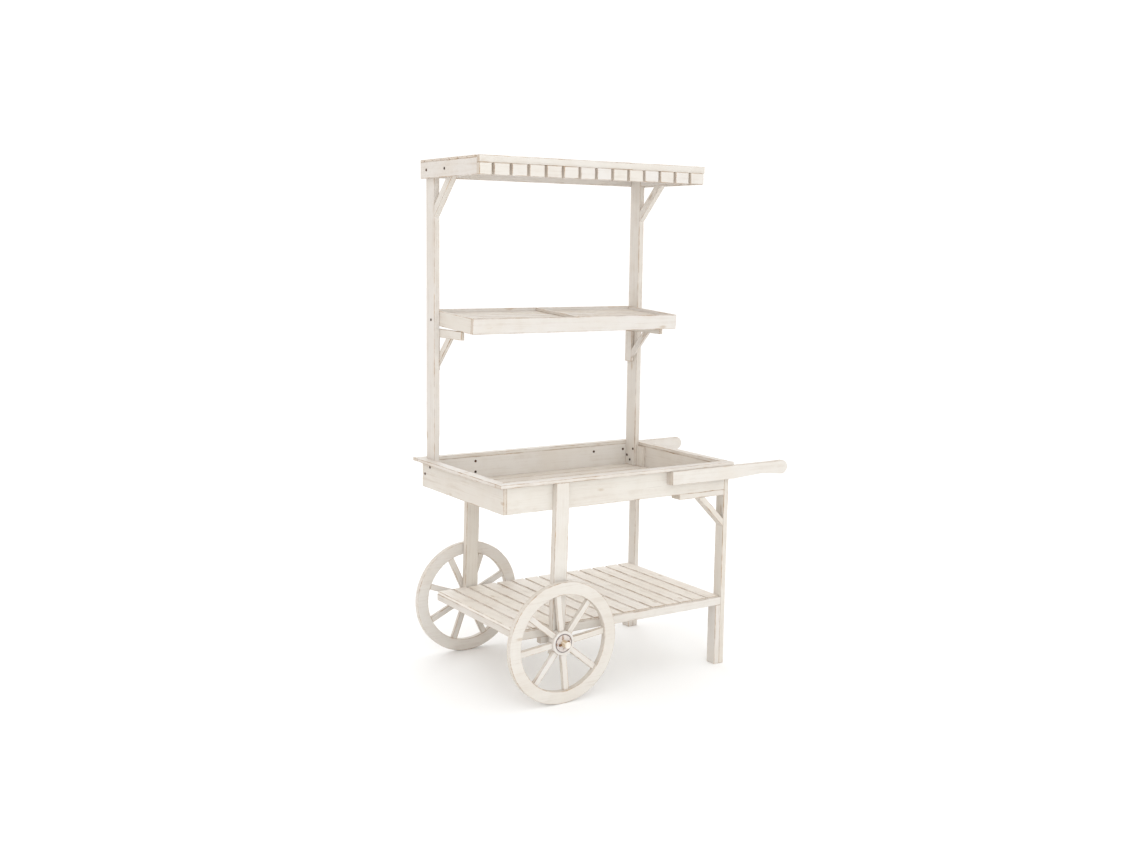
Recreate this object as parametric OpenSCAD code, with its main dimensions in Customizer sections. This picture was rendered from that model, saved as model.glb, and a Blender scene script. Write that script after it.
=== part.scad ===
// Push vending cart: a two-wheeled wooden barrow with a tray, a slatted lower
// shelf, two tall rear posts, a tilted display shelf and a flat slatted canopy.
// Millimetres.  +X is the handle end, -Y is the customer side, +Z is up.
// The origin is on the floor, under the centre of the bounding box.

/* [Tray] */
// Length of the tray, from its left wall to the outside of the legs
tray_l = 970; // [880:1:1080]
// Width of the tray, over its long walls
tray_w = 602; // [540:1:680]
// Height of the top of the rim above the floor
rim_top = 780; // [740:1:840]
// Height of the tray walls, without the rim
wall_h = 95; // [80:1:120]
// Thickness of wall, rim and floor boards
board_t = 12; // [10:0.5:15]
// How far the rim stands out past the walls
rim_out = 26; // [16:1:36]
// How far the rim stands out past the legs, at the handle end
rim_end_out = 2; // [0:1:20]
// Number of floor planks
floor_planks = 9; // [6:1:12]

/* [Legs and handles] */
// Thickness of a leg, along the cart
leg_t = 20; // [16:0.5:26]
// Depth of a leg, across the cart
leg_d = 44; // [36:1:56]
// Height of a handle board
handle_h = 49; // [42:1:56]
// How far the handle tips reach past the legs
handle_out = 258; // [200:1:320]

/* [Wheels] */
// Outer diameter of a wheel
wheel_d = 430; // [380:1:470]
// Width of the rim ring, measured along a radius
rim_ring = 44; // [34:1:54]
// Width of a wheel, measured along the axle
wheel_w = 22; // [18:1:28]
// Number of spokes
spokes = 8; // [6:1:10]
// Diameter of the axle
axle_d = 24; // [18:1:26]
// Distance from the tray's left wall to the axle
axle_x = 208; // [190:1:260]

/* [Lower shelf] */
// Height of the top of the lower shelf above the middle of the axle
shelf_rise = 48; // [43:1:115]
// Number of slats in the lower shelf
shelf_slats = 14; // [10:1:16]

/* [Posts and display shelf] */
// Depth of a tall post, across the cart
post_d = 62; // [50:1:72]
// Thickness of a tall post, along the cart
post_t = 21; // [18:0.5:26]
// Height of the lower front edge of the display shelf
display_z = 1256; // [1150:1:1350]
// Depth of the display shelf
display_d = 312; // [260:1:360]
// Height of the display shelf's boards
display_h = 54; // [44:1:66]
// Forward tilt of the display shelf, in degrees
display_tilt = 3.5; // [0:0.5:6]

/* [Canopy] */
// Height of the top of the canopy, which is the height of the cart
cart_h = 1862; // [1750:1:2050]
// Depth of the canopy, front face to back face
canopy_d = 432; // [380:1:470]
// Height of the canopy's end boards with the roof slats
canopy_h = 65; // [56:1:80]
// Number of roof slats
roof_slats = 7; // [5:1:9]
// Number of valance blocks
valance_blocks = 14; // [10:1:18]

/* [Hidden] */
$fn = 96;

paint = "#efe9df";
paint_end = "#e4dacd";
bare_wood = "#cdb596";
steel = "#6d6863";

// Heights of the tray
wall_top = rim_top - board_t;
wall_bot = wall_top - wall_h;
floor_top = wall_bot + board_t;

// Lengths along the cart, from the outside of the left wall
leg_x = tray_l - leg_t;
right_wall_x = leg_x - board_t;
post_left_x = board_t;
post_right_x = right_wall_x - post_t;
tip_x = tray_l + handle_out;
x_shift = (rim_out - tip_x) / 2;

// Distances across the cart, from its middle plane
half_w = tray_w / 2;
inner_w = half_w - board_t;
post_back_y = inner_w;
post_front_y = inner_w - post_d;

// Wheels
wheel_r = wheel_d / 2;
axle_z = wheel_r;
axle_r = axle_d / 2;
running_fit = 0.08;
wheel_post_t = 25;
wheel_post_w = 53;
wheel_post_drop = 47;
wheel_post_lean = 13;
post_face_y = half_w + wheel_post_t;
wheel_gap = [13, 2];
hub_gap = 1;
hub_r = 43;
hub_recess_r = 33;
hub_recess = 3;
spoke_w = 21;
spoke_t = 14;
spoke_turn = [6, 25];
axle_out = 28;
axle_end_y = post_face_y + max(wheel_gap) + wheel_w + axle_out;
washer_t = 2;
washer_r = hub_recess_r - 1;
end_play = 0.3;
pin_r = 4;
pin_out = 9;
pin_turn = 12;

// Lower shelf
shelf_top = axle_z + shelf_rise;
slat_t = 12;
shelf_x = 62;
shelf_end_y = half_w - 6;
front_rail_h = 30;
front_rail_drop = 3;
front_rail_top = shelf_top - front_rail_drop;
rail_bot = front_rail_top - front_rail_h;
rail_top = shelf_top - slat_t;
rail_t = 20;
end_rail_drop = 3;
slat_gap = 9;
back_rail_y = half_w - 52;

// Display shelf
display_x = post_left_x + post_t;
display_l = post_right_x - display_x;
display_front_y = post_back_y - display_d * cos(display_tilt);
bracket_t = 12;
arm_h = 30;
arm_setback = 83;
arm_front_y = display_front_y + arm_setback;
arm_clear = 0.6;
arm_top = display_z + arm_setback * tan(display_tilt) - arm_clear;
arm_brace_reach = 108;
arm_brace_cut = 34;
upright_over_brace = 14;
display_floor_drop = 11;

// Canopy
canopy_board_t = 15;
canopy_back_y = post_back_y + canopy_board_t;
canopy_front_y = canopy_back_y - canopy_d;
canopy_x0 = post_left_x - canopy_board_t;
canopy_x1 = right_wall_x + canopy_board_t;
roof_slat_t = 8;
canopy_bot = cart_h - canopy_h;
beam_bot = canopy_bot + 4;
end_top = cart_h - roof_slat_t;
front_board_h = 25;
front_board_bot = cart_h - front_board_h;

bolt_r = 5;
bolt_head = 2.5;

// A board given by two opposite corners, in tray coordinates
module board(a, b) {
    translate([x_shift, 0, 0])
        translate([min(a.x, b.x), min(a.y, b.y), min(a.z, b.z)])
            cube([abs(b.x - a.x), abs(b.y - a.y), abs(b.z - a.z)]);
}

// side = -1 is the front of the cart and side = 1 is the back
module on_side(side) {
    if (side > 0) mirror([0, 1, 0]) children();
    else children();
}

// A flat outline in X and Z, thick from y0 to y1
module plate_xz(outline, y0, y1) {
    translate([x_shift, y1, 0]) rotate([90, 0, 0])
        linear_extrude(y1 - y0) polygon(outline);
}

// A flat outline in Y and Z, thick from x0 to x1
module plate_yz(outline, x0, x1) {
    translate([x_shift + x0, 0, 0]) rotate([90, 0, 90])
        linear_extrude(x1 - x0) polygon(outline);
}

// Tray -----------------------------------------------------------------------

module tray_long_wall(side) {
    color(paint) on_side(side)
        board([board_t, -half_w, wall_bot], [leg_x, -inner_w, wall_top]);
}

module tray_left_wall() {
    color(paint_end) board([0, -half_w, wall_bot], [board_t, half_w, wall_top]);
}

module tray_right_wall() {
    color(paint_end) board([right_wall_x, -inner_w, wall_bot], [leg_x, inner_w, wall_top]);
}

module tray_floor_planks() {
    groove = 2;
    pitch = (2 * inner_w + groove) / floor_planks;
    color(paint)
        for (i = [0 : floor_planks - 1])
            board([board_t, -inner_w + i * pitch, wall_bot],
                  [right_wall_x, -inner_w + (i + 1) * pitch - groove, floor_top]);
}

module rim_long(side) {
    color(paint) on_side(side)
        board([-rim_out, -half_w - rim_out, wall_top], [tray_l + rim_end_out, -inner_w, rim_top]);
}

module rim_left() {
    color(paint_end) board([-rim_out, -inner_w, wall_top], [board_t, inner_w, rim_top]);
}

module rim_right() {
    color(paint_end)
        board([right_wall_x, -inner_w, wall_top], [tray_l + rim_end_out, inner_w, rim_top]);
}

// Upright cleats that stop the tall posts from leaning forward
module corner_cleats() {
    color(paint_end) {
        board([board_t, post_front_y - leg_d, floor_top], [2 * board_t, post_front_y, wall_top]);
        board([right_wall_x - board_t, post_front_y - leg_d, floor_top],
              [right_wall_x, post_front_y, wall_top]);
    }
}

// Handles --------------------------------------------------------------------

spacer_t = 18;
handle_t = 18;
handle_x = 680;
spacer_l = 200;
handle_bot = wall_top - handle_h;
grip_r = handle_h / 2 + 1;
waist = 8;
waist_reach = 130;
grip_under = 12;
grip_over = 60;
grip_blend = 0.5;
grip_trim = 0.1;

module handle(side) {
    grip_x = tip_x - grip_r;
    grip_z = handle_bot + handle_h / 2;
    y0 = -half_w - spacer_t - handle_t;
    outline = [[handle_x, handle_bot], [tray_l, handle_bot],
               [tip_x - waist_reach, handle_bot + waist],
               [grip_x - grip_under, grip_z - grip_r + grip_blend],
               [grip_x, grip_z - grip_r + grip_trim], [grip_x, grip_z + grip_r - grip_trim],
               [grip_x - grip_over, wall_top], [handle_x, wall_top]];
    color(paint) on_side(side) {
        plate_xz(outline, y0, y0 + handle_t);
        translate([x_shift + grip_x, y0 + handle_t, grip_z])
            rotate([90, 0, 0]) cylinder(r = grip_r, h = handle_t);
    }
}

module handle_spacers() {
    color(paint)
        for (side = [-1, 1]) on_side(side)
            board([handle_x, -half_w - spacer_t, handle_bot],
                  [handle_x + spacer_l, -half_w, wall_top]);
}

// Legs -----------------------------------------------------------------------

foot_t = 23;
leg_arm_t = 20;
leg_arm_l = 208;
leg_arm_d = 50;
leg_brace_t = 20;
leg_brace_d = 36;
leg_brace_reach = 120;

module leg(side) {
    color(paint) on_side(side)
        board([leg_x, -half_w, 0], [tray_l, -half_w + leg_d, wall_top]);
}

module foot_block(side) {
    color(paint) on_side(side)
        board([leg_x - foot_t, -half_w, 0], [leg_x, -half_w + leg_d, rail_bot]);
}

module leg_arm(side) {
    color(paint) on_side(side)
        board([leg_x - leg_arm_l, -half_w, wall_bot - leg_arm_t],
              [leg_x, -half_w + leg_arm_d, wall_bot]);
}

// A diagonal at 45 degrees between the arm and the leg
module leg_brace(side) {
    top = wall_bot - leg_arm_t;
    cut = leg_brace_t * sqrt(2);
    outline = [[leg_x - leg_brace_reach, top], [leg_x, top - leg_brace_reach],
               [leg_x, top - leg_brace_reach + cut], [leg_x - leg_brace_reach + cut, top]];
    color(paint) on_side(side) plate_xz(outline, -half_w, -half_w + leg_brace_d);
}

// Running gear ---------------------------------------------------------------

// The wheels sit at different distances from their posts and stand at
// different turns: the first number is for the front, the second for the back
function pick(pair, side) = side < 0 ? pair[0] : pair[1];
function wheel_in_y(side) = post_face_y + pick(wheel_gap, side);
function wheel_out_y(side) = wheel_in_y(side) + wheel_w;
function washer_y(side) = wheel_out_y(side) - hub_recess + end_play;
function pin_y(side) = washer_y(side) + washer_t + end_play + pin_r;

// Puts a part that is drawn about the Z axis on the axle, y from the middle
module on_axle(side, y) {
    on_side(side) translate([x_shift + axle_x, -y, axle_z]) rotate([90, 0, 0]) children();
}

// The wheel posts lean a little, so their feet are nearer the left end
module wheel_post(side) {
    foot_z = axle_z - wheel_post_drop;
    foot_x = axle_x - wheel_post_w / 2 - 1;
    outline = [[foot_x, foot_z], [foot_x + wheel_post_w, foot_z],
               [foot_x + wheel_post_w + wheel_post_lean, wall_top],
               [foot_x + wheel_post_lean, wall_top]];
    color(paint) difference() {
        on_side(side) plate_xz(outline, -post_face_y, -half_w);
        on_axle(side, 0) cylinder(r = axle_r, h = 2 * post_face_y);
    }
}

module axle() {
    color(bare_wood) difference() {
        on_axle(-1, -axle_end_y) cylinder(r = axle_r, h = 2 * axle_end_y);
        for (side = [-1, 1]) pin(side);
    }
}

// A peg across each end of the axle, close outside the washer
module pin(side) {
    pin_l = axle_d + 2 * pin_out;
    on_axle(side, pin_y(side)) rotate([0, 90, pin_turn])
        translate([0, 0, -pin_l / 2]) cylinder(r = pin_r, h = pin_l);
}

module axle_pins() {
    color(bare_wood) for (side = [-1, 1]) pin(side);
}

module axle_washers() {
    color(steel)
        for (side = [-1, 1])
            on_axle(side, washer_y(side)) difference() {
                cylinder(r = washer_r, h = washer_t);
                translate([0, 0, -1]) cylinder(r = axle_r, h = washer_t + 2);
            }
}

// Short blocks under the lower shelf, fore and aft of the axle, which they hold
// on both sides down to a little below its middle
module axle_cleats() {
    cleat_l = 46;
    cleat_t = 24;
    below_middle = 9;
    color(paint)
        for (dx = [-axle_r - cleat_l, axle_r], y = [-half_w, back_rail_y])
            board([axle_x + dx, y, axle_z - below_middle],
                  [axle_x + dx + cleat_l, y + cleat_t, rail_bot]);
}

module wheel_rim(side) {
    color(paint) on_axle(side, wheel_in_y(side))
        difference() {
            cylinder(r = wheel_r, h = wheel_w, $fn = 180);
            translate([0, 0, -1]) cylinder(r = wheel_r - rim_ring, h = wheel_w + 2, $fn = 180);
        }
}

// Flat spokes that butt against the hub and the rim, flush with its inner face
module wheel_spokes(side) {
    inner_r = wheel_r - rim_ring;
    color(paint) on_axle(side, wheel_in_y(side))
        intersection() {
            difference() {
                cylinder(r = inner_r, h = spoke_t, $fn = 180);
                translate([0, 0, -1]) cylinder(r = hub_r, h = spoke_t + 2);
            }
            for (i = [0 : spokes - 1])
                rotate([0, 0, i * 360 / spokes + pick(spoke_turn, side)])
                    translate([axle_r, -spoke_w / 2, 0]) cube([inner_r, spoke_w, spoke_t]);
        }
}

module wheel_hub(side) {
    hub_l = wheel_out_y(side) - post_face_y - hub_gap;
    color(paint) on_axle(side, post_face_y + hub_gap)
        difference() {
            cylinder(r = hub_r, h = hub_l);
            translate([0, 0, -1]) cylinder(r = axle_r + running_fit, h = hub_l + 2);
            translate([0, 0, hub_l - hub_recess]) cylinder(r = hub_recess_r, h = hub_recess + 1);
        }
}

// Lower shelf ----------------------------------------------------------------

// A low shelf's long rails are notched where the axle runs under them
module notched_for_axle() {
    difference() {
        children();
        on_axle(-1, -half_w) cylinder(r = axle_r, h = tray_w);
    }
}

module shelf_front_rail() {
    color(paint) notched_for_axle()
        board([shelf_x, -half_w, rail_bot], [leg_x, -inner_w, front_rail_top]);
}

module shelf_back_rail() {
    color(paint) notched_for_axle()
        board([shelf_x + rail_t, back_rail_y, rail_bot],
              [leg_x - rail_t, back_rail_y + rail_t, rail_top]);
}

module shelf_left_rail() {
    color(paint_end)
        board([shelf_x, -inner_w, rail_bot - end_rail_drop], [shelf_x + rail_t, half_w, rail_top]);
}

module shelf_right_rail() {
    color(paint_end)
        board([leg_x - rail_t, -inner_w, rail_bot], [leg_x, half_w, rail_top]);
}

module shelf_slats() {
    pitch = (leg_x - shelf_x + slat_gap) / shelf_slats;
    color(paint)
        for (i = [0 : shelf_slats - 1])
            board([shelf_x + i * pitch, -inner_w, rail_top],
                  [shelf_x + (i + 1) * pitch - slat_gap, shelf_end_y, shelf_top]);
}

// Tall posts and display shelf -----------------------------------------------

module tall_post(x) {
    color(paint) board([x, post_front_y, floor_top], [x + post_t, post_back_y, end_top]);
}

// The tilted frame of the display shelf: x along the shelf, y from its front
// edge to the back, z from its lower edge
module on_display() {
    translate([x_shift + display_x, display_front_y, display_z])
        rotate([display_tilt, 0, 0]) children();
}

module display_front() {
    color(paint) on_display() cube([display_l, board_t, display_h]);
}

module display_back() {
    color(paint) on_display()
        translate([0, display_d - board_t, 0]) cube([display_l, board_t, display_h]);
}

module display_side(x) {
    color(paint_end) on_display()
        translate([x, board_t, 0]) cube([board_t, display_d - 2 * board_t, display_h]);
}

module display_divider() {
    color(paint) on_display()
        translate([(display_l - board_t) / 2, board_t, display_h - display_floor_drop])
            cube([board_t, display_d - 2 * board_t, display_floor_drop]);
}

// Floor slats that run along the shelf, between its end boards
module display_slats() {
    n = 6;
    gap = 4;
    depth = display_d - 2 * board_t;
    pitch = (depth + gap) / n;
    color(paint) on_display()
        for (i = [0 : n - 1])
            translate([board_t, board_t + i * pitch, display_h - display_floor_drop - board_t])
                cube([display_l - 2 * board_t, pitch - gap, board_t]);
}

bracket_right_x = post_right_x - bracket_t;
upright_w = 42;

module display_uprights() {
    color(paint)
        for (x = [display_x, bracket_right_x])
            board([x, post_back_y - upright_w,
                   arm_top - arm_h - arm_brace_reach - upright_over_brace],
                  [x + bracket_t, post_back_y, arm_top - arm_h]);
}

module display_arms() {
    color(paint)
        for (x = [display_x, bracket_right_x])
            board([x, arm_front_y, arm_top - arm_h], [x + bracket_t, post_back_y, arm_top]);
}

module display_braces() {
    y1 = post_back_y - upright_w;
    z1 = arm_top - arm_h;
    outline = [[y1 - arm_brace_reach, z1], [y1, z1 - arm_brace_reach],
               [y1, z1 - arm_brace_reach + arm_brace_cut],
               [y1 - arm_brace_reach + arm_brace_cut, z1]];
    color(paint)
        for (x = [display_x, bracket_right_x]) plate_yz(outline, x, x + bracket_t);
}

// Canopy ---------------------------------------------------------------------

module canopy_end(x) {
    color(paint_end)
        board([x, canopy_front_y + board_t, canopy_bot], [x + canopy_board_t, canopy_back_y, end_top]);
}

module canopy_front() {
    color(paint)
        board([canopy_x0, canopy_front_y, front_board_bot],
              [canopy_x1, canopy_front_y + board_t, cart_h]);
}

module canopy_back() {
    color(paint)
        board([post_left_x, post_back_y, beam_bot], [right_wall_x, canopy_back_y, end_top]);
}

roof_gap = 10;
roof_first = 15;
roof_overlap = 36;

module canopy_slats() {
    first = canopy_front_y + board_t + roof_first;
    pitch = (canopy_back_y + roof_overlap - first) / roof_slats;
    color(paint)
        for (i = [0 : roof_slats - 1])
            board([canopy_x0, first + i * pitch, end_top],
                  [canopy_x1, min(first + (i + 1) * pitch - roof_gap, canopy_back_y), cart_h]);
}

// The row of blocks starts with a narrow one at the left end
module canopy_blocks() {
    gap = 10;
    first_cut = 14;
    proud = 8;
    pitch = (canopy_x1 - canopy_x0 + first_cut) / valance_blocks;
    color(paint)
        for (i = [0 : valance_blocks - 1]) {
            x0 = canopy_x0 - first_cut + i * pitch;
            board([max(x0, canopy_x0 - 2), canopy_front_y - proud, canopy_bot],
                  [x0 + pitch - gap, canopy_front_y + board_t, front_board_bot]);
        }
}

canopy_arm_front_y = canopy_front_y + board_t;

module canopy_arms() {
    color(paint)
        for (x = [post_left_x, post_right_x])
            board([x, canopy_arm_front_y, beam_bot], [x + post_t, post_front_y, end_top]);
}

canopy_brace_reach = 138;
canopy_brace_cut = 40;

module canopy_brace(x) {
    reach = canopy_brace_reach;
    cut = canopy_brace_cut;
    z1 = beam_bot;
    outline = [[post_front_y - reach, z1], [post_front_y, z1 - reach],
               [post_front_y, z1 - reach + cut], [post_front_y - reach + cut, z1]];
    color(paint) plate_yz(outline, x, x + post_t);
}

// Fasteners ------------------------------------------------------------------

// A bolt head standing on a face that looks along -X
module bolt_x(x, y, z) {
    translate([x_shift + x - bolt_head, y, z]) rotate([0, 90, 0]) cylinder(r = bolt_r, h = bolt_head);
}

// A bolt head standing on a face that looks along -Y
module bolt_y(x, y, z) {
    translate([x_shift + x, y, z]) rotate([90, 0, 0]) cylinder(r = bolt_r, h = bolt_head);
}

module frame_bolts() {
    post_mid = (post_front_y + post_back_y) / 2;
    pair_y = 20;
    upper = wall_top - 15;
    lower = wall_top - 45;
    lowest = wall_top - 62;
    shelf_bolt = [post_mid - 6, display_z + 37];
    canopy_bolt_z = canopy_bot + 29;
    canopy_bolt_reach = 139;
    wheel_post_bolt_x = axle_x + 10;
    wheel_post_bolt_drops = [17, 58];
    leg_arm_bolt_x = [leg_x - 190, leg_x - 47];
    leg_arm_bolt_z = wall_top - 22;
    color(steel) {
        for (x = [0, post_right_x]) {
            bolt_x(x, post_mid - pair_y, upper);
            bolt_x(x, post_mid + pair_y, lower);
        }
        bolt_x(post_right_x, post_mid, lowest);
        bolt_x(post_left_x, shelf_bolt.x, shelf_bolt.y);
        for (dy = [0, canopy_bolt_reach]) bolt_x(canopy_x0, post_mid - dy, canopy_bolt_z);
        for (drop = wheel_post_bolt_drops) bolt_y(wheel_post_bolt_x, inner_w, wall_top - drop);
        for (x = leg_arm_bolt_x) bolt_y(x, inner_w, leg_arm_bolt_z);
    }
}

tray_long_wall(-1);  // tray_front_wall
tray_long_wall(1);  // tray_back_wall
tray_left_wall();
tray_right_wall();
tray_floor_planks();
rim_long(-1);  // rim_front
rim_long(1);  // rim_back
rim_left();
rim_right();
corner_cleats();
handle(-1);  // handle_front
handle(1);  // handle_back
handle_spacers();
leg(-1);  // leg_front
leg(1);  // leg_back
foot_block(-1);  // foot_block_front
foot_block(1);  // foot_block_back
leg_arm(-1);  // leg_arm_front
leg_arm(1);  // leg_arm_back
leg_brace(-1);  // leg_brace_front
leg_brace(1);  // leg_brace_back
wheel_post(-1);  // wheel_post_front
wheel_post(1);  // wheel_post_back
shelf_front_rail();
shelf_back_rail();
shelf_left_rail();
shelf_right_rail();
shelf_slats();
axle_cleats();
tall_post(post_left_x);  // tall_post_left
tall_post(post_right_x);  // tall_post_right
display_front();
display_back();
display_side(0);  // display_left
display_side(display_l - board_t);  // display_right
display_divider();
display_slats();
display_uprights();
display_arms();
display_braces();
canopy_end(canopy_x0);  // canopy_end_left
canopy_end(right_wall_x);  // canopy_end_right
canopy_front();
canopy_back();
canopy_slats();
canopy_blocks();
canopy_arms();
canopy_brace(post_left_x);  // canopy_brace_left
canopy_brace(post_right_x);  // canopy_brace_right
axle();
axle_pins();
axle_washers();
frame_bolts();
wheel_rim(-1);  // wheel_front_rim
wheel_spokes(-1);  // wheel_front_spokes
wheel_hub(-1);  // wheel_front_hub
wheel_rim(1);  // wheel_back_rim
wheel_spokes(1);  // wheel_back_spokes
wheel_hub(1);  // wheel_back_hub
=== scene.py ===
import math

import bmesh
import bpy
import numpy as np
from mathutils import Matrix, Vector


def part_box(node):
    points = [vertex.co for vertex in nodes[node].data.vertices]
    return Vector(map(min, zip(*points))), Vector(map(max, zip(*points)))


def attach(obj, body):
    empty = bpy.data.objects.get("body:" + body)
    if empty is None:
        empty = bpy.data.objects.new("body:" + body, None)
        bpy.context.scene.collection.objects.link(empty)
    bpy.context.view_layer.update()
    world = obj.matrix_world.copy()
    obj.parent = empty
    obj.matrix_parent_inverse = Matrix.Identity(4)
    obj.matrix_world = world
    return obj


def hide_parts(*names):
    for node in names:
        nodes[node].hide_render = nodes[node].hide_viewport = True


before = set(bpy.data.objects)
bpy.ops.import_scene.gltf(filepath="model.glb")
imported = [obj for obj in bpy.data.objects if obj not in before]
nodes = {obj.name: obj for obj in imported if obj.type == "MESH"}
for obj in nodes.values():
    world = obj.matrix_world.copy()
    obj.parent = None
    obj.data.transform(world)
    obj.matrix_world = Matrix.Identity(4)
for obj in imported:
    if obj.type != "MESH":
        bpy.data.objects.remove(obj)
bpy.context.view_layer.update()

rng = np.random.default_rng(20)


# ---------------------------------------------------------------- node helpers

class Tree:
    """Short names for building a material out of nodes."""

    def __init__(self, name):
        self.mat = bpy.data.materials.new(name)
        self.mat.use_nodes = True
        self.nt = self.mat.node_tree
        self.nt.nodes.clear()
        self.out = self.nt.nodes.new("ShaderNodeOutputMaterial")
        self.bsdf = self.nt.nodes.new("ShaderNodeBsdfPrincipled")
        self.nt.links.new(self.bsdf.outputs[0], self.out.inputs["Surface"])

    def put(self, socket, value):
        """Links a socket to another one, or gives it a number or a colour."""
        if hasattr(value, "is_linked"):
            self.nt.links.new(value, socket)
        elif isinstance(value, (tuple, list)) and len(value) == 3 and socket.type == "RGBA":
            socket.default_value = (*value, 1)
        else:
            socket.default_value = value

    def math(self, op, a, b):
        n = self.nt.nodes.new("ShaderNodeMath")
        n.operation = op
        self.put(n.inputs[0], a)
        self.put(n.inputs[1], b)
        return n.outputs[0]

    def plus(self, a, b):
        return self.math("ADD", a, b)

    def minus(self, a, b):
        return self.math("SUBTRACT", a, b)

    def times(self, a, b):
        return self.math("MULTIPLY", a, b)

    def vec(self, op, a, b=(0, 0, 0)):
        n = self.nt.nodes.new("ShaderNodeVectorMath")
        n.operation = op
        self.put(n.inputs[0], a)
        self.put(n.inputs[1], b)
        return n.outputs[0]

    def scaled(self, vector, by):
        n = self.nt.nodes.new("ShaderNodeVectorMath")
        n.operation = "SCALE"
        self.put(n.inputs[0], vector)
        self.put(n.inputs["Scale"], by)
        return n.outputs[0]

    def attribute(self, name, out="Vector"):
        n = self.nt.nodes.new("ShaderNodeAttribute")
        n.attribute_name = name
        return n.outputs[out]

    def noise(self, vector, scale, detail, rough, distort=0.0):
        n = self.nt.nodes.new("ShaderNodeTexNoise")
        self.put(n.inputs["Vector"], vector)
        for k, v in (("Scale", scale), ("Detail", detail), ("Roughness", rough),
                     ("Distortion", distort)):
            n.inputs[k].default_value = v
        return n.outputs["Fac"]

    def spots(self, vector):
        """The distance to the nearest of points scattered one to a unit cell."""
        n = self.nt.nodes.new("ShaderNodeTexVoronoi")
        self.put(n.inputs["Vector"], vector)
        n.inputs["Scale"].default_value = 1
        return n.outputs["Distance"]

    def ramp(self, value, low, high, a=0.0, b=1.0):
        """value taken from low..high to a..b, smoothly, and held there."""
        n = self.nt.nodes.new("ShaderNodeMapRange")
        n.interpolation_type = "SMOOTHSTEP"
        for i, v in enumerate((value, low, high, a, b)):
            self.put(n.inputs[i], v)
        return n.outputs[0]

    def mix(self, fac, a, b):
        """Colour a where fac is 0 and colour b where it is 1."""
        n = self.nt.nodes.new("ShaderNodeMix")
        n.data_type = "RGBA"
        self.put(n.inputs["Factor"], fac)
        self.put(n.inputs[6], a)
        self.put(n.inputs[7], b)
        return n.outputs[2]

    def split(self, vector):
        n = self.nt.nodes.new("ShaderNodeSeparateXYZ")
        self.put(n.inputs[0], vector)
        return n.outputs

    def bump(self, height, strength, distance):
        n = self.nt.nodes.new("ShaderNodeBump")
        n.inputs["Strength"].default_value = strength
        n.inputs["Distance"].default_value = distance
        self.put(n.inputs["Height"], height)
        self.put(self.bsdf.inputs["Normal"], n.outputs[0])


def tone(*screen):
    """A linear colour from red, green and blue screen values of 0 to 255."""
    return tuple(v / 12.92 if v <= 0.04045 else ((v + 0.055) / 1.055) ** 2.4
                 for v in (c / 255 for c in screen))


def board_space(t):
    """Where a point lies on its own board: its place along, across and through
    it, shifted so that no two boards have the same grain; its distance to the
    nearest edge; the board's random number; and its distances to the board's
    ends, sides and faces."""
    place = t.attribute("board")
    half = t.attribute("half")
    seed = t.attribute("seed", "Fac")
    moved = t.vec("ADD", place, t.scaled((3.7, 1.9, 2.3), seed))
    left = t.split(t.vec("SUBTRACT", half, t.vec("ABSOLUTE", place)))
    low = t.math("MINIMUM", left[0], left[1])
    high = t.math("MAXIMUM", left[0], left[1])
    edge = t.math("MAXIMUM", low, t.math("MINIMUM", high, left[2]))
    return moved, edge, seed, left


def stretched(t, vector, along, across):
    """The place scaled less along the grain than across it."""
    return t.vec("MULTIPLY", vector, (along, across, across))


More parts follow.
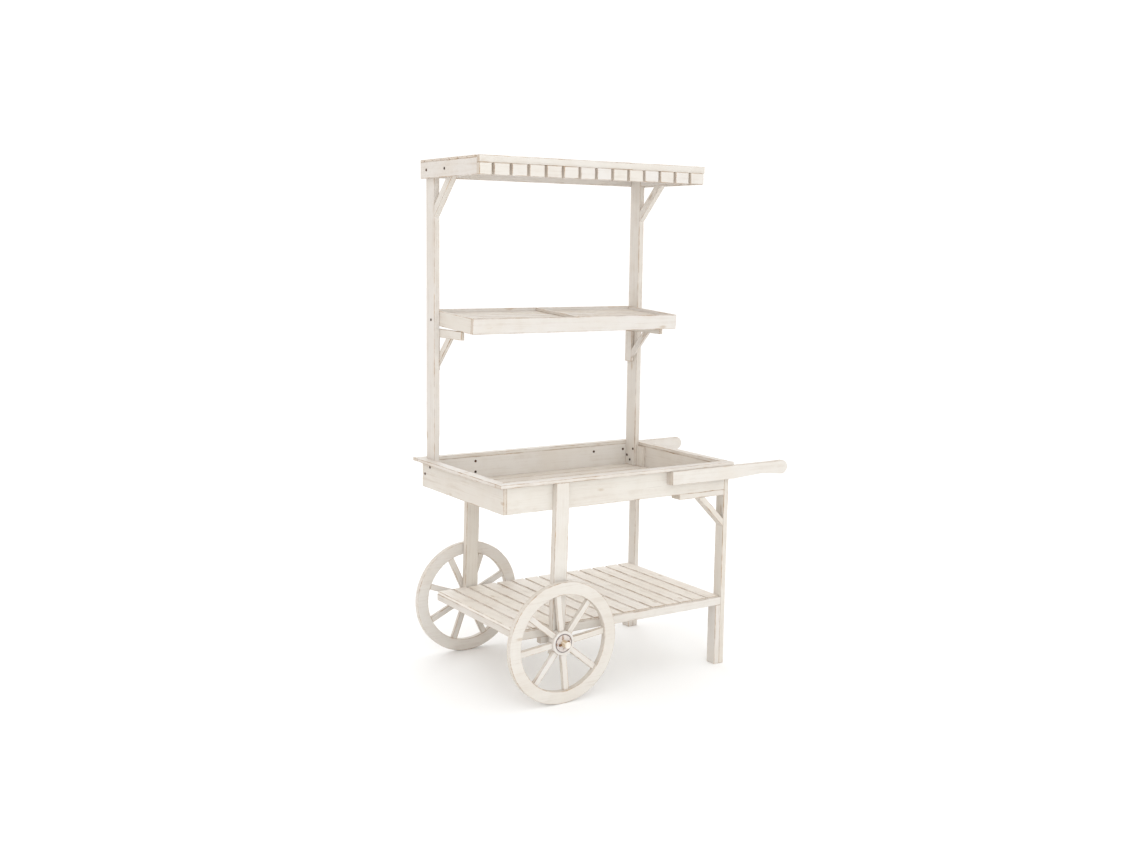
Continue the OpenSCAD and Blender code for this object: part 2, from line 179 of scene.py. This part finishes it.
def paint(name, wash=0.0, wear=1.0, light=0, side=0.4):
    """Thin cream paint brushed on planed softwood, rubbed through on the edges.
    wash is how much of the wood's tan shows through the paint, wear scales the
    bare edges, light makes the coat paler by that many screen values as painted
    light for boards that lie in shade, and side is how far the narrow faces are
    stained, partly as painted shade."""
    t = Tree(name)
    at, edge, seed, left = board_space(t)
    mottle = t.noise(at, 7, 3, 0.55)
    cloud = t.noise(at, 24, 3, 0.6)
    grain = t.noise(stretched(t, at, 4.5, 120), 1, 4, 0.62, 0.35)
    fine = t.noise(stretched(t, at, 14, 420), 1, 3, 0.6)
    brush = t.noise(stretched(t, at, 9, 260), 1, 2, 0.5)
    # the wood underneath
    wood = t.mix(t.ramp(grain, 0.35, 0.68), tone(192, 164, 132), tone(150, 118, 84))
    wood = t.mix(t.ramp(fine, 0.45, 0.75, 0, 0.5), wood, tone(124, 92, 62))
    # the paint, a little pinker or yellower from board to board
    # light raises these three tones: painted light for coats on boards that lie in shade
    pinker, yellower, duller = (tone(*(v + light for v in colour)) for colour in
                                ((214, 209, 204), (214, 208, 199), (209, 201, 191)))
    coat = t.mix(seed, pinker, yellower)
    coat = t.mix(t.ramp(mottle, 0.35, 0.7, 0, 0.6), coat, duller)
    coat = t.mix(t.ramp(cloud, 0.5, 0.75, 0, 0.3), coat, tone(204, 196, 186))
    # the narrow faces took less paint than the wide ones, and are stained tan, partly as painted shade
    narrow = t.ramp(left[1], 0.0003, 0.001, 1, 0)
    thin = t.times(t.ramp(grain, 0.47, 0.66), t.ramp(cloud, 0.32, 0.6, 0.25, 1))
    showing, stain = 0.12 + 0.5 * wash, 0.4 * wash
    thin = t.times(thin, t.ramp(narrow, 0, 1, showing, showing + 0.3 * side))
    coat = t.mix(thin, coat, wood)
    coat = t.mix(t.ramp(narrow, 0, 1, stain, stain + 0.24 * side), coat, tone(200, 186, 168))
    # small knots that stain through
    wobble = t.times(t.noise(at, 60, 2, 0.5), 0.05)
    knot = t.ramp(t.plus(t.spots(stretched(t, at, 5.5, 15)), wobble), 0.06, 0.15, 0.5, 0)
    coat = t.mix(knot, coat, tone(172, 148, 120))
    # wear along the edges, broken up so that it comes and goes
    ragged = t.noise(stretched(t, at, 30, 160), 1, 4, 0.7)
    ragged = t.times(t.minus(ragged, 0.5), 0.0085)
    where = t.ramp(t.noise(at, 11, 3, 0.6), 0.4, 0.62, 0.12, 1)
    near = t.ramp(t.plus(edge, ragged), 0.0003, 0.0026 * wear, 0.85, 0)
    bare = t.times(near, where)
    rubbed = t.ramp(t.noise(stretched(t, at, 7, 60), 1, 4, 0.65), 0.66, 0.74)
    rubbed = t.times(rubbed, t.ramp(mottle, 0.5, 0.62))
    bare = t.math("MAXIMUM", bare, t.times(rubbed, 0.5 * wear))
    colour = t.mix(bare, coat, wood)
    # a dark brown line painted along the edges, partly painted shade at joints and overhangs and
    # partly grime, and grime in the deepest scratches
    edge_grime_and_shade = t.times(t.ramp(edge, 0.0003, 0.0014, 1, 0), t.ramp(cloud, 0.42, 0.62, 0.06, 0.55))
    colour = t.mix(edge_grime_and_shade, colour, tone(118, 84, 54))
    scratch = t.ramp(t.noise(stretched(t, at, 3, 300), 1, 2, 0.7), 0.72, 0.78, 0, 0.35)
    colour = t.mix(scratch, colour, tone(128, 100, 74))
    # end grain is darker
    end = t.ramp(left[0], 0.0002, 0.0008, 0.3, 0)
    colour = t.mix(end, colour, tone(168, 144, 116))
    t.put(t.bsdf.inputs["Base Color"], colour)
    # bare wood is rougher, and the grain, brush marks and scratches can be felt
    rough = t.plus(t.ramp(brush, 0.3, 0.7, 0.52, 0.66), t.times(bare, 0.16))
    t.put(t.bsdf.inputs["Roughness"], rough)
    t.bsdf.inputs["Specular IOR Level"].default_value = 0.3
    height = t.plus(t.times(grain, 0.55), t.times(brush, 0.35))
    height = t.plus(height, t.times(cloud, 0.25))
    height = t.minus(height, t.times(bare, 0.4))
    height = t.minus(height, t.times(scratch, 0.8))
    t.bump(height, 0.32, 0.0011)
    return t.mat


def bare_wood(name):
    """Unpainted pale wood, weathered and a little dirty."""
    t = Tree(name)
    at, _, _, left = board_space(t)
    grain = t.noise(stretched(t, at, 6, 190), 1, 4, 0.6, 0.5)
    fine = t.noise(stretched(t, at, 20, 600), 1, 3, 0.6)
    cloud = t.noise(at, 40, 3, 0.6)
    colour = t.mix(t.ramp(grain, 0.3, 0.7), tone(226, 214, 196), tone(192, 168, 136))
    colour = t.mix(t.ramp(fine, 0.5, 0.8, 0, 0.6), colour, tone(150, 116, 80))
    colour = t.mix(t.ramp(cloud, 0.5, 0.75, 0, 0.5), colour, tone(228, 216, 198))
    end = t.ramp(left[0], 0.0015, 0.003, 0.8, 0)
    sawn = t.mix(t.ramp(cloud, 0.4, 0.7), tone(228, 222, 214), tone(208, 196, 180))
    colour = t.mix(end, colour, sawn)
    t.put(t.bsdf.inputs["Base Color"], colour)
    t.put(t.bsdf.inputs["Roughness"], t.ramp(cloud, 0.3, 0.7, 0.6, 0.78))
    t.bump(t.plus(grain, fine), 0.3, 0.0008)
    return t.mat


def iron(name, light, dark, rust, rust_share, metallic):
    """Old fittings: a dull skin, speckled light and dark, with rust in patches.
    More rust_share makes the patches wider."""
    t = Tree(name)
    at = t.nt.nodes.new("ShaderNodeTexCoord").outputs["Object"]
    cloud = t.noise(at, 90, 4, 0.65)
    speck = t.noise(at, 420, 3, 0.6)
    colour = t.mix(t.ramp(speck, 0.35, 0.7), light, dark)
    patch = t.ramp(t.plus(cloud, t.times(speck, 0.2)),
                   0.62 - rust_share, 0.78 - rust_share)
    colour = t.mix(patch, colour, rust)
    t.put(t.bsdf.inputs["Base Color"], colour)
    t.bsdf.inputs["Metallic"].default_value = metallic
    t.put(t.bsdf.inputs["Roughness"], t.ramp(patch, 0, 1, 0.45, 0.8))
    t.bump(t.plus(cloud, t.times(speck, 0.5)), 0.4, 0.0006)
    return t.mat


PAINT = paint("cream_paint")
PAINT_END = paint("cream_paint_ends", wash=0.1)
# light makes the next three coats paler: painted light for boards that lie in shade
PAINT_SHELF_PAINTED_LIGHT = paint("cream_paint_shelf_painted_light", wash=0.08, light=18, side=0)
PAINT_FLOOR_PAINTED_LIGHT = paint("cream_paint_floor_painted_light", wash=0.16, wear=1.1, light=9)
PAINT_THIN_PAINTED_LIGHT = paint("cream_paint_thin_painted_light", wash=0.3, light=4)
WOOD = bare_wood("bare_wood")
BOLT = iron("bolt_iron", tone(72, 60, 52), tone(34, 28, 25), tone(98, 62, 38), 0.05, 0.6)
WASHER = iron("washer_steel", tone(214, 206, 201), tone(196, 186, 180), tone(150, 118, 94), 0.0, 0.05)
# painted shade: the dark band round the outer edge of each washer
WASHER_SHADE_RING = iron("washer_painted_shade_ring", tone(128, 112, 116), tone(92, 80, 84), tone(112, 86, 72), 0.0, 0.2)
PEG = iron("peg_iron", tone(112, 84, 62), tone(58, 42, 33), tone(134, 92, 56), 0.15, 0.2)


# -------------------------------------------------------------- board geometry

def solids_of(mesh):
    """Lists of vertex numbers, one list for each separate solid of a mesh.
    Vertices in the same hundredth of a millimetre count as one."""
    n = len(mesh.vertices)
    root = list(range(n))

    def find(i):
        while root[i] != i:
            root[i] = root[root[i]]
            i = root[i]
        return i

    seen = {}
    for v in mesh.vertices:
        key = tuple(round(c * 1e5) for c in v.co)
        root[find(v.index)] = find(seen.setdefault(key, v.index))
    for p in mesh.polygons:
        for v in p.vertices[1:]:
            root[find(v)] = find(p.vertices[0])
    groups = {}
    for i in range(n):
        groups.setdefault(find(i), []).append(i)
    return list(groups.values())


def unsigned(direction):
    """The same vector for a direction and its opposite."""
    first = next((c for c in direction if abs(c) > 1e-3), 0)
    return -direction if first < 0 else direction


def axes_of(mesh, members):
    """The three directions of a board, from the faces with the most area."""
    inside = set(members)
    areas = {}
    for p in mesh.polygons:
        if p.vertices[0] in inside:
            d = unsigned(p.normal)
            key = tuple(round(c, 2) for c in d)
            a, s = areas.get(key, (0, Vector()))
            areas[key] = (a + p.area, s + d * p.area)
    ranked = [s.normalized() for a, s in sorted(areas.values(), key=lambda e: -e[0])]
    first = ranked[0]
    second = next((d for d in ranked if abs(d.dot(first)) < 0.08), first.orthogonal())
    second = (second - first * second.dot(first)).normalized()
    return first, second, first.cross(second)


def mark_boards(mesh):
    """Gives each vertex its place on its own board, the board's half size and a
    random number for the board, for the materials to use."""
    n = len(mesh.vertices)
    board, half, seed = np.zeros((n, 3)), np.zeros((n, 3)), np.zeros(n)
    co = np.array([v.co for v in mesh.vertices])
    for members in solids_of(mesh):
        axes = np.array([list(a) for a in axes_of(mesh, members)])
        local = co[members] @ axes.T
        low, high = local.min(0), local.max(0)
        order = np.argsort(-(high - low))
        board[members] = (local - (low + high) / 2)[:, order]
        half[members] = ((high - low) / 2)[order]
        seed[members] = rng.random()
    write_marks(mesh, board, half, seed)


def write_marks(mesh, board, half, seed):
    """Stores on each vertex what board_space reads."""
    for name, data in (("board", board), ("half", half)):
        a = mesh.attributes.new(name, "FLOAT_VECTOR", "POINT")
        a.data.foreach_set("vector", np.asarray(data, np.float32).ravel())
    a = mesh.attributes.new("seed", "FLOAT", "POINT")
    a.data.foreach_set("value", np.asarray(seed, np.float32))


def dress(name, material, soften):
    """Puts a material on a CAD node and rounds its edges a little."""
    ob = nodes[name]
    mark_boards(ob.data)
    ob.data.materials.clear()
    ob.data.materials.append(material)
    # the normals that came with the mesh would shade wrongly over new edges
    normals = ob.data.attributes.get("custom_normal")
    if normals:
        ob.data.attributes.remove(normals)
    weld = ob.modifiers.new("weld", "WELD")
    weld.merge_threshold = 1e-5
    bevel = ob.modifiers.new("soften", "BEVEL")
    bevel.width, bevel.segments = soften, 2
    bevel.limit_method, bevel.angle_limit = "ANGLE", math.radians(35)
    bevel.miter_outer = "MITER_ARC"


def piece(name, mesh, body, stands_for, material):
    """Adds a mesh to the scene in the place of the CAD nodes in stands_for."""
    ob = bpy.data.objects.new(name, mesh)
    bpy.context.scene.collection.objects.link(ob)
    mesh.materials.append(material)
    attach(ob, body)
    if stands_for:
        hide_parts(*stands_for)
    return ob


def turned(profile, segments):
    """Vertices and faces of a closed profile of (radius, along) points turned
    about the Y axis."""
    k = len(profile)
    verts, faces = [], []
    for i in range(segments):
        a = 2 * math.pi * i / segments
        verts += [(r * math.cos(a), y, r * math.sin(a)) for r, y in profile]
        j = (i + 1) % segments
        for m in range(k):
            q = (m + 1) % k
            faces.append((i * k + m, i * k + q, j * k + q, j * k + m))
    return verts, faces


def merged(shapes):
    """One list of vertices and one of faces out of several pairs of them."""
    verts, faces = [], []
    for v, f in shapes:
        faces += [tuple(i + len(verts) for i in face) for face in f]
        verts += v
    return verts, faces


def rounded(r0, r1, y0, y1, soft):
    """A rectangle with rounded corners, as (radius, along) points, with a point
    halfway along its two flat faces."""
    steps = 4
    points = []
    middle = (r0 + r1) / 2
    for cr, cy, a0 in ((r1 - soft, y1 - soft, 0), (r0 + soft, y1 - soft, 90),
                       (r0 + soft, y0 + soft, 180), (r1 - soft, y0 + soft, 270)):
        for i in range(steps + 1):
            a = math.radians(a0 + 90 * i / steps)
            points.append((cr + soft * math.cos(a), cy + soft * math.sin(a)))
        if a0 in (0, 180):
            points.append((middle, y1 if a0 == 0 else y0))
    return points


def finished(name, verts, faces, smooth=True):
    """A mesh with its faces turned outwards."""
    mesh = bpy.data.meshes.new(name)
    mesh.from_pydata([tuple(v) for v in verts], [], faces)
    bm = bmesh.new()
    bm.from_mesh(mesh)
    bmesh.ops.recalc_face_normals(bm, faces=bm.faces)
    bm.to_mesh(mesh)
    bm.free()
    for p in mesh.polygons:
        p.use_smooth = smooth
    return mesh


# --------------------------------------------------------------------- boards

# the coats of the boards that aren't painted with PAINT; the shelf, floor and thin coats are made
# paler as painted light
BOARDS = {"shelf_slats": PAINT_SHELF_PAINTED_LIGHT, "tray_floor_planks": PAINT_FLOOR_PAINTED_LIGHT, "canopy_slats": PAINT_FLOOR_PAINTED_LIGHT,
          "display_slats": PAINT_THIN_PAINTED_LIGHT}
# boards at the left and right ends, painted with PAINT_END
ENDS = {"tray_left_wall", "tray_right_wall", "rim_left", "rim_right", "corner_cleats",
        "shelf_left_rail", "shelf_right_rail", "display_left", "display_right",
        "canopy_end_left", "canopy_end_right"}
# how wide the rounding of the edges is, in metres, and where it isn't EDGE
EDGE = 0.0013
SOFT = {"handle_front": 0.004, "handle_back": 0.004, "canopy_blocks": 0.0026,
        "wheel_front_spokes": 0.001, "wheel_back_spokes": 0.001,
        "tray_floor_planks": 0.0009, "display_slats": 0.0009, "canopy_slats": 0.0009}
# nodes with their own mesh, made below
OWN = {"axle", "axle_pins", "axle_washers", "frame_bolts", "wheel_front_rim", "wheel_back_rim",
       "wheel_front_hub", "wheel_back_hub"}
for name in sorted(nodes):
    if name not in OWN:
        coat = BOARDS.get(name, PAINT_END if name in ENDS else PAINT)
        dress(name, coat, SOFT.get(name, EDGE))


# --------------------------------------------------------------- running gear

# metres
RIM_RING = 0.044        # how wide the rim's face is
RIM_EASE = 0.002
HUB_BORE = 0.01208
HUB_RECESS = 0.033      # radius of the recess that the washer lies in
RECESS_DEPTH = 0.003
# the hub's worn edges: how far each is cut back, and where its middle point is
BACK_EASE = (0.002, 0.0006)
FACE_EASE = (0.0026, 0.0008)
RECESS_EASE = (0.0016, 0.0005)


def turned_marks(mesh, inner, outer, width):
    """Marks a piece turned about the Y axis: its grain runs straight across it,
    and its edges are the inner and outer circles of its faces."""
    co = np.array([v.co for v in mesh.vertices])
    radial = np.hypot(co[:, 0], co[:, 2])
    place = co[:, [0, 2, 1]]
    edge = np.minimum(outer - radial, radial - inner)
    half = np.stack([np.full(len(co), 2 * outer), edge + np.abs(place[:, 1]),
                     np.full(len(co), width / 2)], 1)
    write_marks(mesh, place, half, np.full(len(co), rng.random()))


def eased(r, y, across, along, ease):
    """Three points for a worn corner at (r, y), from the one on its flat face
    to the one on its round side.  across and along are 1 or -1 and say to which
    side of the corner the material lies."""
    cut, middle = ease
    return [(r + across * cut, y), (r + across * middle, y + along * middle), (r, y + along * cut)]


def wheel(side):
    """The rim and the hub of one wheel."""
    out = -1 if side == "front" else 1
    body = "wheel_" + side
    low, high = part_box("wheel_%s_rim" % side)
    centre = (low + high) / 2
    radius = (high.z - low.z) / 2
    width = high.y - low.y
    inside = radius - RIM_RING
    profile = rounded(inside, radius, -width / 2, width / 2, RIM_EASE)
    mesh = finished("rim_" + side, *turned(profile, 160))
    turned_marks(mesh, inside, radius, width)
    mesh.transform(Matrix.Translation(centre))
    piece("rim_" + side, mesh, body, ["wheel_%s_rim" % side], PAINT)

    # the hub: a turned block with a softened face and a recess for the washer
    low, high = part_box("wheel_%s_hub" % side)
    face, back = (low.y, high.y) if out < 0 else (high.y, low.y)
    r = (high.z - low.z) / 2
    bottom = face - out * RECESS_DEPTH
    profile = [(HUB_BORE, back), *eased(r, back, -1, out, BACK_EASE),
               *reversed(eased(r, face, -1, -out, FACE_EASE)),
               *eased(HUB_RECESS, face, 1, -out, RECESS_EASE),
               (HUB_RECESS, bottom), (HUB_BORE, bottom)]
    mesh = finished("hub_" + side, *turned(profile, 96), smooth=False)
    middle = (face + back) / 2
    mesh.transform(Matrix.Translation((0, -middle, 0)))
    # the bore is covered by the washer, so only the outside counts as an edge
    turned_marks(mesh, -r, r, abs(face - back))
    mesh.transform(Matrix.Translation((centre.x, middle, centre.z)))
    piece("hub_" + side, mesh, body, ["wheel_%s_hub" % side], PAINT)


wheel("front")
wheel("back")


def cylinder_of(node, member, axis):
    """Centre, radius and length of a CAD cylinder that lies along axis."""
    mesh = nodes[node].data
    co = np.array([mesh.vertices[i].co for i in member])
    along = co @ np.array(axis)
    mid = (along.min() + along.max()) / 2
    flat = co - np.outer(along, axis)
    middle = (flat.min(0) + flat.max(0)) / 2
    radius = np.linalg.norm(flat - middle, axis=1).max()
    return Vector(middle + np.array(axis) * mid), radius, along.max() - along.min()


def lay(mesh, centre, axis):
    """Turns a mesh made about Y so that it lies along axis at centre."""
    turn = Vector((0, 1, 0)).rotation_difference(Vector(axis)).to_matrix().to_4x4()
    mesh.transform(Matrix.Translation(centre) @ turn)


def round_bar(name, node, member, axis, ease, stands_for, material, sides):
    """A bar of the cart's frame, in the place of one CAD cylinder, with its ends
    rounded by ease."""
    centre, radius, length = cylinder_of(node, member, axis)
    h = length / 2
    core = 0.0004       # the ends stop this far from the axis
    angles = [math.radians(a) for a in (90, 68, 45, 22, 0)]
    end = [(radius - ease * (1 - math.cos(a)), h - ease * (1 - math.sin(a))) for a in angles]
    profile = [(core, h), *end, *((r, -y) for r, y in reversed(end)), (core, -h)]
    verts, faces = turned(profile, sides)
    mesh = finished(name, verts, faces)
    co = np.array(verts)
    marks = np.stack([co[:, 1], co[:, 0], co[:, 2]], 1)
    # with so large a half width no side of the bar counts as an edge
    write_marks(mesh, marks, np.tile((h, 0.5, 0.5), (len(co), 1)), np.full(len(co), rng.random()))
    for p in mesh.polygons:
        p.use_smooth = abs(p.normal.y) < 0.95
    lay(mesh, centre, axis)
    return piece(name, mesh, "cart_frame", stands_for, material)


def joined(name, obs, stands_for):
    """One piece out of several that ride on the same body."""
    base = obs[0]
    bm = bmesh.new()
    for ob in obs:
        bm.from_mesh(ob.data)
    bm.to_mesh(base.data)
    bm.free()
    for ob in obs[1:]:
        bpy.data.objects.remove(ob)
    base.name = name
    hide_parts(*stands_for)
    return base


round_bar("axle_pole", "axle", range(len(nodes["axle"].data.vertices)), (0, 1, 0), 0.002,
          ["axle"], WOOD, 64)

PIN_TURN = math.radians(12)
PIN_AXIS = (math.cos(PIN_TURN), 0, math.sin(PIN_TURN))
pegs = [round_bar("peg_%d" % i, "axle_pins", member, PIN_AXIS, 0.0012, [], PEG, 24)
        for i, member in enumerate(solids_of(nodes["axle_pins"].data))]
joined("axle_pegs", pegs, ["axle_pins"])


WASHER_BORE, WASHER_BAND, WASHER_EDGE = 0.0121, 0.0022, 0.0005


def washers():
    """Flat washers, with a darker band painted round the outside as painted shade where each lies in
    the hub's recess.
    """
    shapes, dark = [], []
    for member in solids_of(nodes["axle_washers"].data):
        centre, radius, length = cylinder_of("axle_washers", member, (0, 1, 0))
        h = length / 2
        side = [(WASHER_BORE, h), (radius - WASHER_BAND, h), (radius - WASHER_EDGE, h),
                (radius, h - WASHER_EDGE)]
        verts, faces = turned(side + [(r, -y) for r, y in reversed(side)], 72)
        # the faces of the outer band get the dark painted shade
        band = radius - 1.01 * WASHER_BAND
        dark += [min(math.hypot(verts[i][0], verts[i][2]) for i in face) > band for face in faces]
        shapes.append(([(x + centre.x, y + centre.y, z + centre.z) for x, y, z in verts], faces))
    mesh = finished("axle_washer_plates", *merged(shapes), smooth=False)
    piece("axle_washer_plates", mesh, "cart_frame", ["axle_washers"], WASHER)
    mesh.materials.append(WASHER_SHADE_RING)
    mesh.polygons.foreach_set("material_index", [int(d) for d in dark])


washers()

# a bolt head's dome, as shares of its radius and of its height
DOME = ((1, 0), (0.98, 0.35), (0.86, 0.68), (0.62, 0.9), (0.3, 0.985))


def bolts():
    """Domed heads on the faces that carry them."""
    shapes = []
    mesh = nodes["frame_bolts"].data
    for member in solids_of(mesh):
        co = np.array([mesh.vertices[i].co for i in member])
        size = co.max(0) - co.min(0)
        height, r = min(size[0], size[1]), size[2] / 2
        axis = Vector((-1, 0, 0)) if size[0] < size[1] * 0.8 else Vector((0, -1, 0))
        base = Vector((co.min(0) + co.max(0)) / 2) - axis * (height / 2)
        core = 0.0002       # the head's two ends stop this far from its axis
        verts, faces = turned([(r * a, height * b) for a, b in DOME] + [(core, height), (core, 0)], 24)
        turn = Vector((0, 1, 0)).rotation_difference(axis).to_matrix()
        shapes.append(([turn @ Vector(v) + base for v in verts], faces))
    piece("bolt_heads", finished("bolt_heads", *merged(shapes)), "cart_frame",
          ["frame_bolts"], BOLT)


bolts()


# ---------------------------------------------------------------------- stage

WORLD, KEY, FILL, REAR = 1.13, 68, 5, 52      # the world's strength and the lamps' watts
COOL = (0.8, 0.92, 1.0)
LAMP_SIZE = 3.0
AIM = (0, 0, 0.8)
FLOOR_RINGS, FLOOR_SIDES = (4, 12, 40), 64


def floor():
    """A wide pale disc, in rings, just under the wheels and the legs."""
    n = FLOOR_SIDES
    angles = [2 * math.pi * i / n for i in range(n)]
    verts = [(0, 0, 0)] + [(r * math.cos(a), r * math.sin(a), 0) for r in FLOOR_RINGS for a in angles]
    faces = []
    for i in range(n):
        j = (i + 1) % n
        faces.append((0, 1 + i, 1 + j))
        for inner in range(1, 1 + n * (len(FLOOR_RINGS) - 1), n):
            faces.append((inner + i, inner + n + i, inner + n + j, inner + j))
    mesh = finished("floor", verts, faces)
    t = Tree("pale_floor")
    at = t.nt.nodes.new("ShaderNodeTexCoord").outputs["Object"]
    t.put(t.bsdf.inputs["Base Color"],
          t.mix(t.noise(at, 3, 2, 0.5), (0.955, 0.958, 0.96), (0.968, 0.97, 0.972)))
    t.bsdf.inputs["Roughness"].default_value = 0.9
    t.bsdf.inputs["Specular IOR Level"].default_value = 0.1
    mesh.materials.append(t.mat)
    ob = bpy.data.objects.new("floor", mesh)
    ob.location.z = -0.0003
    bpy.context.scene.collection.objects.link(ob)


def lamp(name, place, power, colour=(1, 1, 1)):
    data = bpy.data.lights.new(name, "AREA")
    data.shape, data.size, data.energy, data.color = "DISK", LAMP_SIZE, power, colour
    ob = bpy.data.objects.new(name, data)
    ob.location = place
    ob.rotation_euler = (Vector(AIM) - Vector(place)).to_track_quat("-Z", "Y").to_euler()
    bpy.context.scene.collection.objects.link(ob)


def studio():
    """A bright, even room with a soft key light from the customer side."""
    world = bpy.data.worlds.new("studio")
    bpy.context.scene.world = world
    world.use_nodes = True
    back = world.node_tree.nodes["Background"]
    back.inputs["Color"].default_value = (1.0, 0.98, 0.96, 1)
    back.inputs["Strength"].default_value = WORLD
    lamp("key", (-1.3, -5.0, 2.1), KEY, COOL)
    lamp("fill", (-4.4, -1.6, 2.2), FILL)
    lamp("rear", (1.6, 5.0, 2.2), REAR, COOL)
    # the default view transform would turn the white paint and background grey
    bpy.context.scene.view_settings.view_transform = "Standard"


CAMERA_PLACE = (-2.6972, -3.9165, 1.5711)
CAMERA_ANGLES = (-33.087, 8.158, 0.814)       # azimuth, elevation and roll, in degrees
SENSOR, LENS = 36, 40.37


def camera():
    data = bpy.data.cameras.new("camera")
    data.sensor_width, data.lens = SENSOR, LENS
    azimuth, elevation, roll = (math.radians(a) for a in CAMERA_ANGLES)
    back = Vector((math.sin(azimuth) * math.cos(elevation), -math.cos(azimuth) * math.cos(elevation),
                   math.sin(elevation)))
    right = (-back).cross(Vector((0, 0, 1))).normalized()
    up = right.cross(-back)
    right, up = (math.cos(roll) * right + math.sin(roll) * up,
                 -math.sin(roll) * right + math.cos(roll) * up)
    ob = bpy.data.objects.new("camera", data)
    turn = Matrix((right, up, back)).transposed().to_4x4()
    ob.matrix_world = Matrix.Translation(CAMERA_PLACE) @ turn
    bpy.context.scene.collection.objects.link(ob)
    bpy.context.scene.camera = ob


floor()
studio()
camera()
